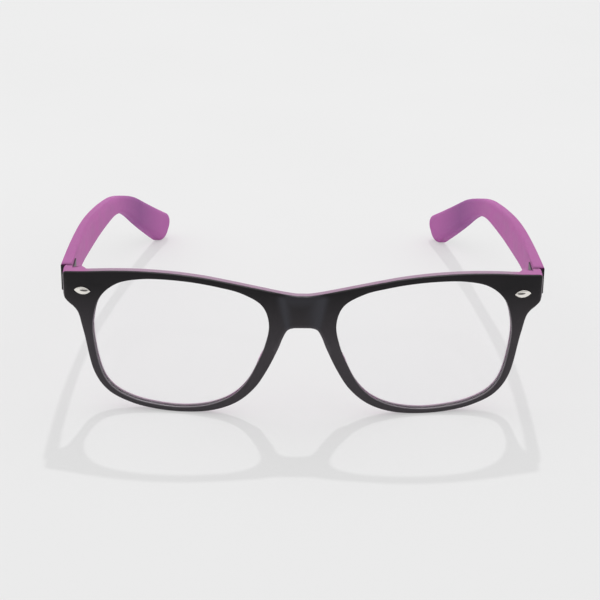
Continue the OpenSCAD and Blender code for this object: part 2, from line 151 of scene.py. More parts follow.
LEAN_Y = BROW_Z * math.tan(FRONT_TILT)
LEAN_Z = -sheet_y(LENS_CX, 0) * math.sin(FRONT_TILT) - REST_FLAT
BLOCK_Y = LEAN_Y + sheet_y(HALF_W, 0) * math.cos(FRONT_TILT) - END_TOP_Z * math.sin(FRONT_TILT) + BLOCK_T
BUTT_Y = BLOCK_Y + BUTT_GAP
END_MID_Z = (
    LEAN_Z
    + (END_TOP_Z - END_H / 2) * math.cos(FRONT_TILT)
    + sheet_y(HALF_W, 0) * math.sin(FRONT_TILT)
    + TEMPLE_LIFT
)
NOTCH_Y = BLOCK_Y + BUTT_GAP / 2 - BARREL_R - BARREL_CLR
BEND_L = BEND_R * BEND_A
TEMPLE_L = TEMPLE_STRAIGHT + BEND_L + TIP_L

# Small sizes that the looks add
CURVE_STEPS = 8
OUTLINE_STEP = 1.0
CORNER_TURN = 15
OVAL_STEPS = 24
NOTCH_EDGE = 0.08
SEAM = 0.07
FACE_ROUND = 0.45
OPENING_ROUND = 0.42
BACK_ROUND = 0.8
BACK_OPENING_ROUND = 0.5
EDGE_CROWN = 0.22
EDGE_CROWN_W = 1.5
DISH = 0.4
DISH_FADE = 3.2
BAND_HALF = 4.65
BAND_SPREAD = 1.6
SKIN_ROUND = 0.12
BORDER_ROUND = 0.38
CORE_ROUND = 1.25
CORE_ROUND_W = 2.2
EASE_START = 0.3
SKIN_EASE = 2.5
CORE_EASE = 38
FRONT_EDGE_W = 1.6
SKIN_EDGE_W = 1.6
CORE_EDGE_W = 2.4
BUTT_ROUND = 0.2
BUTT_CORNER = 0.35
BUTT_CORNER_SHAPE = [(0, 1), (0.25, 0.25), (1, 0)]
BUTT_ENDS = (0.01, 0.03)
BUTT_POINTS = 6
LIP = 0.06
BUTT_STEP = 0.06
BUTT_CLEAR = 1.2
TEMPLE_START = -2
TEMPLE_STATIONS = 76
TIP_TURN = 9
BOW_SQUARE = 0.15
BOW_CUBE = 0.85
BLOCK_LOW_Y = 9
BLOCK_EASE_X = (-0.5, 0.7)
BLOCK_EASE_Z = (-0.5, 1)
PAD_NEAR = (1.1, 3.0)
PAD_OVER = 0.9
PAD_POWER = 1.4
PAD_TOP_X = 9.2
PAD_SLOPE = 0.82
PAD_FADE_X = 2
PAD_REACH_X = 30
LENS_BEVEL = 0.12
DOME_SHARES = (0.12, 0.25, 0.38, 0.5, 0.62, 0.73, 0.82, 0.9, 0.96, 1.0)
RIVET_CROWN = 0.97
RIVET_RIM_RISE = 0.06
RIVET_LIP = 0.09
RIVET_LIP_DROP = 0.08
HINGE_BEVEL = 0.06
SHARP_ANGLE = 40
RIVET_SHARP_ANGLE = 60

# Places of the tones that are kept on the meshes, most of them painted highlights, painted shade and a
# painted reflection; a pair is where a tone starts and ends
BAND_W = 1.8
BAND_LOW_SHARE = 0.55
BAND_OUT_SHARE = 0.8
BAND_IN_SHARE = {"left": 2.2, "right": 1.1}
BAND_FOOT = (-0.25, 0.05)
BAND_END = (0.9, 1.1)
HOLLOW_SHARE = 0.6
HOLLOW_FOOT = (0.55, 0.9)
HOLLOW_SIDE = (-1.5, 0)
ENDS_X = (HALF_W - 0.5, HALF_W - 0.1)
ENDS_DEPTH = (FACE_ROUND, FACE_ROUND + 0.3)
WALL_NEAR = (0.04, 0.16)
WALL_DEPTH = (0.08, 0.28)
WALL_DIM_Z = (34, 40)
WALL_DIM_SHARE = 0.7
ARCH_NEAR = (0, 1.4)
ARCH_HALF_W = 8.5
ARCH_DIM_Z = (32, 34)
ARCH_SHARE = 0.16
STRIP_NEAR = (0.3, 0.9)
STRIP_Z = (37, 39)
STRIP_X = (62, 67)
INNER_WALL_NEAR = GROOVE_D + 0.2
INNER_WALL_DEPTH = (RIM_T - 0.6, RIM_T - 0.2)
NOTCH_IN_X = (HINGE_X - 0.6, HINGE_X)
NOTCH_OUT_X = (HALF_W - 1.4, HALF_W - 0.9)
NOTCH_LOW_Z = END_TOP_Z - 1.2
NOTCH_BEFORE = (BACK_ROUND, BACK_ROUND + 0.7)
GAP_LOW_Z = END_MID_Z + END_H / 2 - 1
GAP_Y = (BUTT_Y + 0.1, BUTT_Y + 0.6)
CORNER_X = (OUTER_X - 0.55, OUTER_X - 0.35)
CORNER_Y = (BUTT_Y + 1.5, BUTT_Y + 3)
CORNER_TOP_Z = END_MID_Z - 2
STREAK_X = 0.55
STREAK_Z = 0.34
STREAK_HALF_L = 1.25
STREAK_HALF_H = 0.33
STREAK_EDGE = (0.7, 1.3)

# Pitches of the points inside the caps, and the front's patches with finer ones, as two corners in x and z
WHOLE_FRONT = ((-HALF_W, 0), (HALF_W, BROW_Z))
BRIDGE_PATCH = ((-10, 26), (10, 43))
PAD_PATCH = ((5, 8), (24, 30))
BLOCK_PATCH = ((59, 34), (73, 47))
NOTCH_ROW = (30, 46, 0.3)
FACE_PITCH = 1.1
BRIDGE_PITCH = 0.6
BACK_PITCH = 1.3
PAD_PITCH = 0.55
BLOCK_PITCH = 0.6
HIDDEN_PITCH = 2.5
LENS_PITCH = 2.2
TEMPLE_PITCH = 1.8
EDGE_SPACING = 0.33
ROW_PITCH = 0.866


def rows(values):
    return np.array(values, dtype=float)


def smooth(t):
    t = np.clip(t, 0, 1)
    return t * t * (3 - 2 * t)


def rise(value, start, full):
    """Goes smoothly from 0 at start to 1 at full."""
    return smooth((value - start) / (full - start))


def fall(value, start, none):
    """Goes smoothly from 1 at start to 0 at none."""
    return 1 - rise(value, start, none)


def catmull(a, b, c, d, t):
    """A point between b and c on the smooth curve through four points."""
    return (2 * b + (c - a) * t + (2 * a - 5 * b + 4 * c - d) * t * t + (3 * b - a - 3 * c + d) * t ** 3) / 2


def closed_curve(points, steps=CURVE_STEPS):
    p = rows(points)
    n = len(p)
    return rows([
        catmull(p[i - 1], p[i], p[(i + 1) % n], p[(i + 2) % n], k / steps)
        for i in range(n)
        for k in range(steps)
    ])


def open_curve(points, steps=CURVE_STEPS):
    p = rows(points)
    p = np.vstack([2 * p[0] - p[1], p, 2 * p[-1] - p[-2]])
    spans = range(1, len(p) - 2)
    curve = [catmull(p[i - 1], p[i], p[i + 1], p[i + 2], k / steps) for i in spans for k in range(steps)]
    return rows(curve + [p[-2]])


def outward(loop):
    """Unit normals of a counter-clockwise loop."""
    run = np.roll(loop, -1, axis=0) - np.roll(loop, 1, axis=0)
    run /= np.linalg.norm(run, axis=1)[:, None]
    return np.column_stack([run[:, 1], -run[:, 0]])


def grown(loop, distance):
    return loop + np.reshape(distance, (-1, 1)) * outward(loop)


def refined(loop, longest, across=()):
    """Splits a loop's long edges, and cuts it where |x| has one of the values in across."""
    out = []
    for a, b in zip(loop, np.roll(loop, -1, axis=0)):
        cuts = {0.0}
        pieces = max(1, math.ceil(np.linalg.norm(b - a) / longest))
        cuts.update(k / pieces for k in range(1, pieces))
        for x in across:
            for side in (1, -1):
                if (a[0] - side * x) * (b[0] - side * x) < 0:
                    cuts.add((side * x - a[0]) / (b[0] - a[0]))
        out += [a + t * (b - a) for t in sorted(cuts)]
    return rows(out)


CHUNK = 500


def distance_to(points, loops):
    """How far each point lies from the nearest edge of some closed loops, a chunk of points at a time."""
    best = np.full(len(points), 1e9)
    for loop in loops:
        a = loop
        run = np.roll(loop, -1, axis=0) - loop
        length = np.maximum(np.sum(run * run, axis=1), 1e-12)
        for first in range(0, len(points), CHUNK):
            p = points[first:first + CHUNK, None, :]
            t = np.clip(np.sum((p - a) * run, axis=2) / length, 0, 1)
            gap = np.linalg.norm(p - a - t[:, :, None] * run, axis=2)
            best[first:first + CHUNK] = np.minimum(best[first:first + CHUNK], gap.min(axis=1))
    return best


def between(points, loops):
    """Whether each point lies inside an odd number of the closed loops."""
    inside = np.zeros(len(points), dtype=bool)
    for loop in loops:
        for (x0, y0), (x1, y1) in zip(loop, np.roll(loop, -1, axis=0)):
            if y0 == y1:
                continue
            crosses = (points[:, 1] < y0) != (points[:, 1] < y1)
            inside ^= crosses & (points[:, 0] < x0 + (points[:, 1] - y0) * (x1 - x0) / (y1 - y0))
    return inside


def quarter(radius, steps=5):
    """Insets and depths of a rounded edge, from the face to the wall."""
    turns = [math.pi / 2 * k / steps for k in range(steps + 1)]
    return [(radius * (1 - math.sin(t)), radius * (1 - math.cos(t))) for t in turns]


def hex_grid(low, high, pitch):
    """Points of a triangular grid inside a box."""
    out = []
    for j, v in enumerate(np.arange(low[1], high[1], pitch * ROW_PITCH)):
        for u in np.arange(low[0] + pitch / 2 * (j % 2), high[0], pitch):
            out.append((u, v))
    return rows(out)


def on_side(side, patch):
    """A patch's lowest and highest corner when it is put on one side of the front."""
    (near, low), (far, high) = patch
    first, last = sorted((side * near, side * far))
    return (first, low), (last, high)


# Outlines of the front, in its own upright plane
LENS_POINTS = rows(LENS_SHAPE) * [LENS_W / 2, LENS_H / 2]
LENS_OUTLINE = closed_curve(LENS_POINTS)


def rim_at(i):
    """How wide the rim is beside a point of the lens shape."""
    if i <= BOTTOM_I:
        return RIM_BOTTOM + (RIM_NASAL - RIM_BOTTOM) * (BOTTOM_I - i) / (BOTTOM_I - NOSE_I)
    if i < BOTTOM_END_I:
        return RIM_BOTTOM
    return RIM_BOTTOM + (RIM_TEMPORAL - RIM_BOTTOM) * (i - BOTTOM_END_I) / (TEMPLE_I - BOTTOM_END_I)


def front_outline():
    """The nose arch, the rims, the end pieces and the brow as one counter-clockwise loop."""
    sides = outward(LENS_POINTS)
    rim = []
    for i in range(NOSE_I, TEMPLE_I + 1):
        k = i % len(LENS_POINTS)
        rim.append((LENS_CX, LENS_CZ) + LENS_POINTS[k] + rim_at(i) * sides[k])
    arch = [(x, ARCH_Z - down) for x, down in ARCH_SHAPE]
    end = [(HALF_W - x, END_LOW_Z - down) for x, down in END_SHAPE]
    lower = open_curve(arch + rim + end)
    corner = [
        (
            HALF_W - END_CORNER_R * (1 - math.cos(math.radians(a))),
            END_TOP_Z - END_CORNER_R * (1 - math.sin(math.radians(a))),
        )
        for a in range(0, 90, CORNER_TURN)
    ]
    brow = [(x * LENS_CX, BROW_Z - down * BRIDGE_DIP) for x, down in BROW_SHAPE]
    brow += [(HALF_W - x, BROW_Z - down * END_DROP) for x, down in BROW_END_SHAPE]
    brow.append((HALF_W - END_CORNER_R, END_TOP_Z))
    half = np.vstack([lower, corner, open_curve(brow)[::-1]])
    return np.vstack([half, half[1:-1][::-1] * [-1, 1]])


OUTLINE = refined(front_outline(), OUTLINE_STEP, across=(NOTCH_X - NOTCH_EDGE, NOTCH_X + NOTCH_EDGE))


def opening_at(side, grow, depth):
    """The lens opening grown by a distance, at a depth, cut square to the front at the lens's centre."""
    q = grown(LENS_OUTLINE, grow)
    return turned(side, q[:, 0], sheet_y(q[:, 0], depth), LENS_CZ + q[:, 1], LENS_CX, LENS_TURN)


EDGES = [OUTLINE] + [opening_at(side, 0, 0)[:, [0, 2]] for side in SIDES.values()]


def bridge_height(z):
    """0 at the nose arch, 1 at the bridge's top."""
    return (z - ARCH_Z) / BRIDGE_H


def bridge_line(z):
    """How far from the middle the bridge's two soft lines lie; they come closer together lower down."""
    return BAND_HALF + BAND_SPREAD * bridge_height(z)


def painted_bridge_highlight_at(p):
    """Painted highlight along the bridge's two soft lines, of which the left one is wider inwards, and on its
    hollow's upper part.
    """
    height = bridge_height(p[:, 2])
    past = np.abs(p[:, 0]) - bridge_line(p[:, 2])
    width = BAND_W * (BAND_LOW_SHARE + (1 - BAND_LOW_SHARE) * np.clip(height, 0, 1))
    inwards = np.where(p[:, 0] > 0, BAND_IN_SHARE["left"], BAND_IN_SHARE["right"])
    width *= np.where(past > 0, BAND_OUT_SHARE, inwards)
    lines = np.exp(-(past / width) ** 2) * rise(height, *BAND_FOOT) * fall(height, *BAND_END)
    hollow = HOLLOW_SHARE * rise(height, *HOLLOW_FOOT) * fall(past, *HOLLOW_SIDE)
    return np.maximum(lines, hollow)


def behind_face(p):
    return p[:, 1] - sheet_y(p[:, 0], 0)


def painted_glint_at(p):
    """Painted highlights where the outer shot's edges catch the light: the openings' walls, both ends and the
    arch.
    """
    q = p[:, [0, 2]]
    x = np.abs(p[:, 0])
    z = p[:, 2]
    depth = behind_face(p)
    walls = fall(distance_to(q, EDGES[1:]), *WALL_NEAR) * rise(depth, *WALL_DEPTH)
    walls *= 1 - WALL_DIM_SHARE * rise(z, *WALL_DIM_Z)
    ends = rise(x, *ENDS_X) * fall(depth, *ENDS_DEPTH)
    arch = ARCH_SHARE * fall(distance_to(q, EDGES[:1]), *ARCH_NEAR) * fall(z, *ARCH_DIM_Z)
    arch *= x < ARCH_HALF_W
    return np.maximum(np.maximum(walls, ends), arch)


def painted_brow_highlight_at(p):
    """A painted highlight on the inner shot's top edge along the brow, as far as the end blocks."""
    near = fall(distance_to(p[:, [0, 2]], EDGES[:1]), *STRIP_NEAR)
    return near * rise(p[:, 2], *STRIP_Z) * fall(np.abs(p[:, 0]), *STRIP_X)


def painted_wall_highlight_at(p):
    """A painted highlight on the inner shot's walls inside the lens openings."""
    near = distance_to(p[:, [0, 2]], EDGES[1:]) < INNER_WALL_NEAR
    return near * fall(behind_face(p), *INNER_WALL_DEPTH)


def painted_notch_shade_at(p):
    """Painted shade on the rear edge of an end block's top, where the hinge's notch and the gap to the temple
    shade it.
    """
    x = np.abs(p[:, 0])
    before = back_y(p[:, [0, 2]]) - p[:, 1]
    beside = rise(x, *NOTCH_IN_X) * fall(x, *NOTCH_OUT_X)
    return beside * (p[:, 2] > NOTCH_LOW_Z) * fall(before, *NOTCH_BEFORE)


def painted_gap_shade_at(p):
    """Painted shade on the top of a temple's butt, where the gap to the front shades it."""
    return (p[:, 2] > GAP_LOW_Z) * fall(p[:, 1], *GAP_Y)


def corner_at(p):
    """The outer side of a temple's lower corner at the butt."""
    return rise(p[:, 0], *CORNER_X) * (p[:, 2] < CORNER_TOP_Z) * fall(p[:, 1], *CORNER_Y)


def dish_depth(q):
    """The bridge's face is a shallow hollow that ends at two soft lines."""
    x = np.abs(q[:, 0])
    line = bridge_line(q[:, 1])
    hollow = DISH * np.square(np.minimum(x / line, 1))
    return hollow * fall(x - line, 0, DISH_FADE)


def face_depth(q):
    """How deep the front's face lies at a point, with rounded-off edges and the bridge's hollow."""
    near = 1 - np.clip(distance_to(q, EDGES) / EDGE_CROWN_W, 0, 1)
    return EDGE_CROWN * near ** 2 + dish_depth(q)


def pad_height(q):
    """How far the nose pads stand out behind the rim."""
    across = fall(distance_to(q, [OUTLINE]), *PAD_NEAR)
    along = np.clip(1 - np.square((q[:, 1] - PAD_Z) / (PAD_L / 2 + PAD_OVER)), 0, 1) ** PAD_POWER
    reach = PAD_TOP_X + PAD_SLOPE * (PAD_Z + PAD_L / 2 - q[:, 1])
    beside = fall(np.abs(q[:, 0]), reach - PAD_FADE_X, reach)
    return PAD_D * across * along * beside


def back_y(q):
    """The back of the front: the rim, the slopes up to the end blocks with their hinge notch, the pads."""
    x = np.abs(q[:, 0])
    z = q[:, 1]
    rim = sheet_y(x, RIM_T)
    start = BLOCK_Y - BLOCK_T + RIM_T
    foot = HALF_W - BLOCK_W - RAMP_W
    crest = foot + RAMP_W * (NOTCH_Y - start) / (BLOCK_Y - start)
    across = [foot, crest, NOTCH_X - NOTCH_EDGE, NOTCH_X + NOTCH_EDGE, HALF_W]
    slope = np.interp(x, across, [start, NOTCH_Y, NOTCH_Y, BLOCK_Y, BLOCK_Y])
    block = (slope - LEAN_Y + z * math.sin(FRONT_TILT)) / math.cos(FRONT_TILT)
    low = (END_MID_Z - END_H / 2 - LEAN_Z - BLOCK_LOW_Y * math.sin(FRONT_TILT)) / math.cos(FRONT_TILT)
    part = rise(x - foot, *BLOCK_EASE_X) * rise(z - low, *BLOCK_EASE_Z)
    return rim + part * np.maximum(block - rim, 0) + pad_height(q)


def splayed(p):
    """Leans whatever stands behind the rim beside the nose away from the nose."""
    p = p.copy()
    past = np.maximum(p[:, 1] - sheet_y(p[:, 0], RIM_T), 0)
    beside = (np.abs(p[:, 0]) < PAD_REACH_X) & (p[:, 2] < BRIDGE_Z)
    p[:, 0] += np.where(beside, np.sign(p[:, 0]) * past * math.tan(PAD_SPLAY), 0)
    return p


def leaned(p):
    """From the upright front to the part's own frame. The rims' lowest points are cut flat."""
    y = p[:, 1] * math.cos(FRONT_TILT) - p[:, 2] * math.sin(FRONT_TILT) + LEAN_Y - MID_Y
    z = p[:, 1] * math.sin(FRONT_TILT) + p[:, 2] * math.cos(FRONT_TILT) + LEAN_Z
    return np.column_stack([p[:, 0], y, np.maximum(z, 0)])


class Shell:
    """A closed mesh made of rings that are joined to each other and of caps that fill between rings."""

    def __init__(self, axes):
        self.axes = list(axes)
        self.points = []
        self.faces = []

    def ring(self, p):
        first = len(self.points)
        self.points += [tuple(q) for q in p]
        return list(range(first, len(self.points)))

    def chain(self, rings):
        ids = [self.ring(p) for p in rings]
        for a, b in zip(ids, ids[1:]):
            n = len(a)
            self.faces += [(a[i], a[(i + 1) % n], b[(i + 1) % n], b[i]) for i in range(n)]
        return ids[0], ids[-1]

    def fan(self, ring, tip=None):
        """Closes a ring with triangles that meet in a tip, or else in its own middle."""
        if tip is None:
            tip = np.mean([self.points[i] for i in ring], axis=0)
        top = self.ring([tip])[0]
        self.faces += [(a, b, top) for a, b in zip(ring, ring[1:] + ring[:1])]

    def cap(self, loops, inner, lift):
        """Fills between loops of point numbers with triangles, through inner points that lift() places."""
        ids = [i for loop in loops for i in loop]
        flat = rows([self.points[i] for i in ids])[:, self.axes]
        edges = []
        first = 0
        outlines = []
        for loop in loops:
            n = len(loop)
            edges += [(first + i, first + (i + 1) % n) for i in range(n)]
            outlines.append(flat[first:first + n])
            first += n
        if len(inner):
            inner = inner[distance_to(inner, outlines) > EDGE_SPACING]
        every = [Vector(q) for q in flat] + [Vector(q) for q in inner]
        verts, _, faces, origin, _, _ = delaunay_2d_cdt(every, edges, [], 0, 1e-7)
        middles = rows([np.mean([verts[i][:] for i in f], axis=0) for f in faces])
        faces = [f for f, kept in zip(faces, between(middles, outlines)) if kept]
        used = sorted({i for f in faces for i in f})
        number = {}
        fresh = []
        for i in used:
            if origin[i] and min(origin[i]) < len(ids):
                number[i] = ids[min(origin[i])]
            else:
                fresh.append(i)
        if fresh:
            placed = self.ring(lift(rows([verts[i][:] for i in fresh])))
            number.update(zip(fresh, placed))
        self.faces += [tuple(number[i] for i in f) for f in faces]


def add_attribute(mesh, name, values):
    layer = mesh.attributes.new(name, "FLOAT", "POINT")
    layer.data.foreach_set("value", values.astype(np.float32))


def make_piece(
    name, shell, place, body, node, material, edge_loops=(), edge_w=2.0, sharp=SHARP_ANGLE, marks=None
):
    """Turns a shell into an object that stands for a CAD node. Marks are values that steer its tones."""
    local = rows(shell.points)
    points = place(local) * MM
    mesh = bpy.data.meshes.new(name)
    mesh.from_pydata([tuple(p) for p in points], [], shell.faces)
    bm = bmesh.new()
    bm.from_mesh(mesh)
    bmesh.ops.recalc_face_normals(bm, faces=bm.faces)
    bm.to_mesh(mesh)
    bm.free()
    mesh.shade_smooth()
    mesh.set_sharp_from_angle(angle=math.radians(sharp))
    if len(edge_loops):
        near = 1 - np.clip(distance_to(local[:, shell.axes], edge_loops) / edge_w, 0, 1)
        add_attribute(mesh, "edge", near)
    for mark, place_on in (marks or {}).items():
        add_attribute(mesh, mark, place_on(local))
    mesh.materials.append(material)
    piece = bpy.data.objects.new(name, mesh)
    bpy.context.collection.objects.link(piece)
    piece.modifiers.new("even shading", "WEIGHTED_NORMAL").keep_sharp = True
    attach(piece, body)
    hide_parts(node)


# Materials, in metres; a texture's scale counts its features in a metre
CLOUD_SCALE = 90
SPECK_SCALE = 2600
SATIN_SCALE = 420
GRAIN_SCALE = 5200
DRAWN_SCALE = 1500
DRAWN_STRETCH = 12
FILM_SCALE = 35
FLOOR_SCALE = 9
SCATTER_RADII = (1.0, 0.55, 0.9)
SCATTER_DEPTH = 0.0012
BUMP = 0.12
GRAIN_DEPTH = 0.00003
DRAWN_DEPTH = 0.00002


def new_material(name):
    """A new material with its nodes, links and shader, and the place on the object as coordinates."""
    material = bpy.data.materials.new(name)
    material.use_nodes = True
    nodes = material.node_tree.nodes
    where = nodes.new("ShaderNodeTexCoord").outputs["Object"]
    return material, nodes, material.node_tree.links, nodes["Principled BSDF"], where


def noise(nodes, links, coordinates, scale, detail=3):
    node = nodes.new("ShaderNodeTexNoise")
    node.inputs["Scale"].default_value = scale
    node.inputs["Detail"].default_value = detail
    links.new(coordinates, node.inputs["Vector"])
    return node.outputs["Fac"]


def ranged(nodes, links, value, low, high, start=0.3, stop=0.7):
    """Turns a value that goes from start to stop into one that goes from low to high."""
    node = nodes.new("ShaderNodeMapRange")
    node.inputs["From Min"].default_value = start
    node.inputs["From Max"].default_value = stop
    node.inputs["To Min"].default_value = low
    node.inputs["To Max"].default_value = high
    links.new(value, node.inputs["Value"])
    return node.outputs["Result"]


def mixed(nodes, links, factor, a, b):
    """Mixes two colours; each is a colour or another node's output."""
    node = nodes.new("ShaderNodeMix")
    node.data_type = "RGBA"
    sockets = [s for s in node.inputs if s.type == "RGBA"]
    for socket, value in zip(sockets, (a, b)):
        if isinstance(value, tuple):
            socket.default_value = value + (1,)
        else:
            links.new(value, socket)
    links.new(factor, node.inputs["Factor"])
    return [s for s in node.outputs if s.type == "RGBA"][0]


def joined(nodes, links, operation, a, b):
    """Joins two values by a math operation."""
    node = nodes.new("ShaderNodeMath")
    node.operation = operation
    links.new(a, node.inputs[0])
    links.new(b, node.inputs[1])
    return node.outputs["Value"]


def blended(nodes, links, factor, first, second):
    """Shows a mix of two shaders."""
    mix = nodes.new("ShaderNodeMixShader")
    links.new(factor, mix.inputs["Fac"])
    links.new(first, mix.inputs[1])
    links.new(second, mix.inputs[2])
    links.new(mix.outputs["Shader"], nodes["Material Output"].inputs["Surface"])


def bumped(nodes, links, shader, height, distance):
    node = nodes.new("ShaderNodeBump")
    node.inputs["Strength"].default_value = BUMP
    node.inputs["Distance"].default_value = distance
    links.new(height, node.inputs["Height"])
    links.new(node.outputs["Normal"], shader.inputs["Normal"])


def plastic(name, colour, cloud, rough, specular, scatter=0.0, rim=None, rim_share=0.6):
    """Moulded plastic: clouds of a second tone, a third along the edges if rim is given, a satin grain."""
    material, nodes, links, shader, where = new_material(name)
    tone = ranged(nodes, links, noise(nodes, links, where, CLOUD_SCALE), 0.0, 1.0)
    base = mixed(nodes, links, tone, colour, cloud)
    if rim:
        edge = nodes.new("ShaderNodeAttribute")
        edge.attribute_name = "edge"
        edge_part = ranged(nodes, links, edge.outputs["Fac"], 0.0, rim_share, start=0.35, stop=1.0)
        base = mixed(nodes, links, edge_part, base, rim)
    specks = noise(nodes, links, where, SPECK_SCALE, 2)
    base = mixed(nodes, links, ranged(nodes, links, specks, 0.0, 0.10, start=0.45, stop=0.75), base, cloud)
    satin = noise(nodes, links, where, SATIN_SCALE, 4)
    links.new(ranged(nodes, links, satin, rough[0], rough[1]), shader.inputs["Roughness"])
    shader.inputs["Specular IOR Level"].default_value = specular
    if scatter:
        shader.inputs["Subsurface Weight"].default_value = scatter
        shader.inputs["Subsurface Radius"].default_value = SCATTER_RADII
        shader.inputs["Subsurface Scale"].default_value = SCATTER_DEPTH
    bumped(nodes, links, shader, noise(nodes, links, where, GRAIN_SCALE, 2), GRAIN_DEPTH)
    links.new(base, shader.inputs["Base Color"])
    return material


def toned(material, factor, colour):
    """Puts one more tone over a material's colour, as strongly as the value that factor() makes."""
    nodes = material.node_tree.nodes
    links = material.node_tree.links
    socket = nodes["Principled BSDF"].inputs["Base Color"]
    before = socket.links[0].from_socket
    split = nodes.new("ShaderNodeSeparateXYZ")
    links.new(nodes.new("ShaderNodeTexCoord").outputs["Object"], split.inputs["Vector"])
    links.new(mixed(nodes, links, factor(nodes, links, split), before, colour), socket)


def metal(name, colour, tint, rough):
    """Plated metal: fine drawn lines along one axis and a slightly uneven tone."""
    material, nodes, links, shader, where = new_material(name)
    drawn = nodes.new("ShaderNodeMapping")
    drawn.inputs["Scale"].default_value = (1, 1, DRAWN_STRETCH)
    links.new(where, drawn.inputs["Vector"])
    lines = noise(nodes, links, drawn.outputs["Vector"], DRAWN_SCALE, 4)
    base = mixed(nodes, links, ranged(nodes, links, lines, 0.0, 1.0), colour, tint)
    links.new(base, shader.inputs["Base Color"])
    links.new(ranged(nodes, links, lines, rough[0], rough[1]), shader.inputs["Roughness"])
    shader.inputs["Metallic"].default_value = 1.0
    bumped(nodes, links, shader, lines, DRAWN_DEPTH)
    return material


def clear_lens(name):
    """A clear coated lens. Light goes straight through it to the floor and to the pieces behind it."""
    material, nodes, links, shader, where = new_material(name)
    film = noise(nodes, links, where, FILM_SCALE, 4)
    links.new(ranged(nodes, links, film, 0.0, 0.03), shader.inputs["Roughness"])
    tint = mixed(nodes, links, ranged(nodes, links, film, 0.0, 1.0), (0.99, 0.99, 0.99), (0.98, 0.98, 0.985))
    links.new(tint, shader.inputs["Base Color"])
    shader.inputs["Transmission Weight"].default_value = 1.0
    shader.inputs["IOR"].default_value = 1.5
    shader.inputs["Specular IOR Level"].default_value = 0.3
    clear = nodes.new("ShaderNodeBsdfTransparent")
    clear.inputs["Color"].default_value = (0.985, 0.985, 0.987, 1)
    path = nodes.new("ShaderNodeLightPath")
    either = joined(nodes, links, "MAXIMUM", path.outputs["Is Shadow Ray"], path.outputs["Is Diffuse Ray"])
    blended(nodes, links, either, shader.outputs["BSDF"], clear.outputs["BSDF"])
    return material


# Where the tones lie on the pieces, in metres
def painted_lower_light(nodes, links, split):
    """Painted light that makes the black paler low down: full on the front's lower half, none at its brow."""
    return ranged(nodes, links, split.outputs["Z"], low=1.0, high=0.0, start=0.024, stop=0.0425)


def marked(name, share=1.0):
    """A tone that follows one of the values kept on the mesh."""

    def factor(nodes, links, split):
        mark = nodes.new("ShaderNodeAttribute")
        mark.attribute_name = name
        return ranged(nodes, links, mark.outputs["Fac"], 0.0, share, start=0.0, stop=1.0)
    return factor


def painted_tip_shade(nodes, links, split):
    """Painted shade: none along a temple's front half, full at its ear tip."""
    return ranged(nodes, links, split.outputs["Y"], low=0.0, high=1.0, start=-0.005, stop=0.055)


def painted_ear_shade(nodes, links, split):
    """Painted shade: strongest just behind the bend, none at the tip's end."""
    behind_bend = ranged(nodes, links, split.outputs["Y"], low=0.0, high=1.0, start=0.025, stop=0.05)
    before_end = ranged(nodes, links, split.outputs["Y"], low=1.0, high=0.0, start=0.05, stop=0.068)
    return joined(nodes, links, "MULTIPLY", behind_bend, before_end)


# The pieces' own materials
def satin_black(name, specular, rim):
    return plastic(
        name,
        colour=(0.0100, 0.0090, 0.0105),
        cloud=(0.0125, 0.0110, 0.0125),
        rough=(0.36, 0.48),
        specular=specular,
        rim=rim,
    )


# The rim tones make both blacks a little lighter along their edges, a faint painted highlight
BLACK = satin_black("satin black", specular=0.16, rim=(0.013, 0.011, 0.013))
# Painted light: the black is paler on the lower front
toned(BLACK, painted_lower_light, (0.051, 0.045, 0.051))
# Painted highlight along the bridge's soft lines and its hollow's upper part
toned(BLACK, marked("band", 0.9), (0.045, 0.045, 0.054))
# Painted highlight on the openings' walls, both ends and the arch
toned(BLACK, marked("glint"), (0.23, 0.21, 0.23))
TEMPLE_BLACK = satin_black("satin black temple", specular=0.2, rim=(0.016, 0.014, 0.016))
PURPLE = plastic(
    "mauve purple",
    colour=(0.49, 0.16, 0.40),
    cloud=(0.45, 0.145, 0.365),
    rough=(0.42, 0.55),
    specular=0.15,
    scatter=0.35,
)
# Painted highlight, pale and greyish, along the brow's top edge
toned(PURPLE, marked("strip"), (0.40, 0.265, 0.365))
# Painted highlight, pale grey-mauve, on the walls inside the lens openings
toned(PURPLE, marked("wall"), (0.34, 0.29, 0.33))
# Painted shade of the hinge's notch, dark magenta
toned(PURPLE, marked("notch"), (0.13, 0.02, 0.10))
TEMPLE_PURPLE = plastic(
    "mauve purple temple",
    colour=(0.54, 0.155, 0.43),
    cloud=(0.475, 0.165, 0.395),
    rough=(0.5, 0.62),
    specular=0.04,
    scatter=0.35,
    rim=(0.40, 0.125, 0.325),
    rim_share=0.8,
)
# Painted shade, a little darker and bluer towards the ear tip
toned(TEMPLE_PURPLE, painted_tip_shade, (0.49, 0.155, 0.42))
# Painted shade, dull indigo, just behind the bend
toned(TEMPLE_PURPLE, painted_ear_shade, (0.32, 0.11, 0.31))
# Painted shade of the gap between the temple's butt and the front
toned(TEMPLE_PURPLE, marked("gap"), (0.10, 0.02, 0.08))
toned(TEMPLE_PURPLE, marked("corner"), (0.012, 0.011, 0.012))
CHROME = metal("pale chrome", colour=(0.93, 0.90, 0.85), tint=(0.88, 0.85, 0.80), rough=(0.10, 0.18))
# Painted dark reflection on the rivet's head
toned(CHROME, marked("streak", 0.9), (0.05, 0.045, 0.045))
# A dark metal for the hinge, made darker and purple as painted shade of the notch around it
SHADED_HINGE_METAL = metal("hinge metal with painted shade", colour=(0.06, 0.038, 0.055), tint=(0.04, 0.025, 0.036), rough=(0.32, 0.48))
CLEAR = clear_lens("clear lens")

# Rivet places
RIVET_X = HALF_W - RIVET_IN
RIVET_Z = END_TOP_Z - END_H / 2 - RIVET_DROP
RIVET_TURN = math.asin(RIVET_X / WRAP_R)


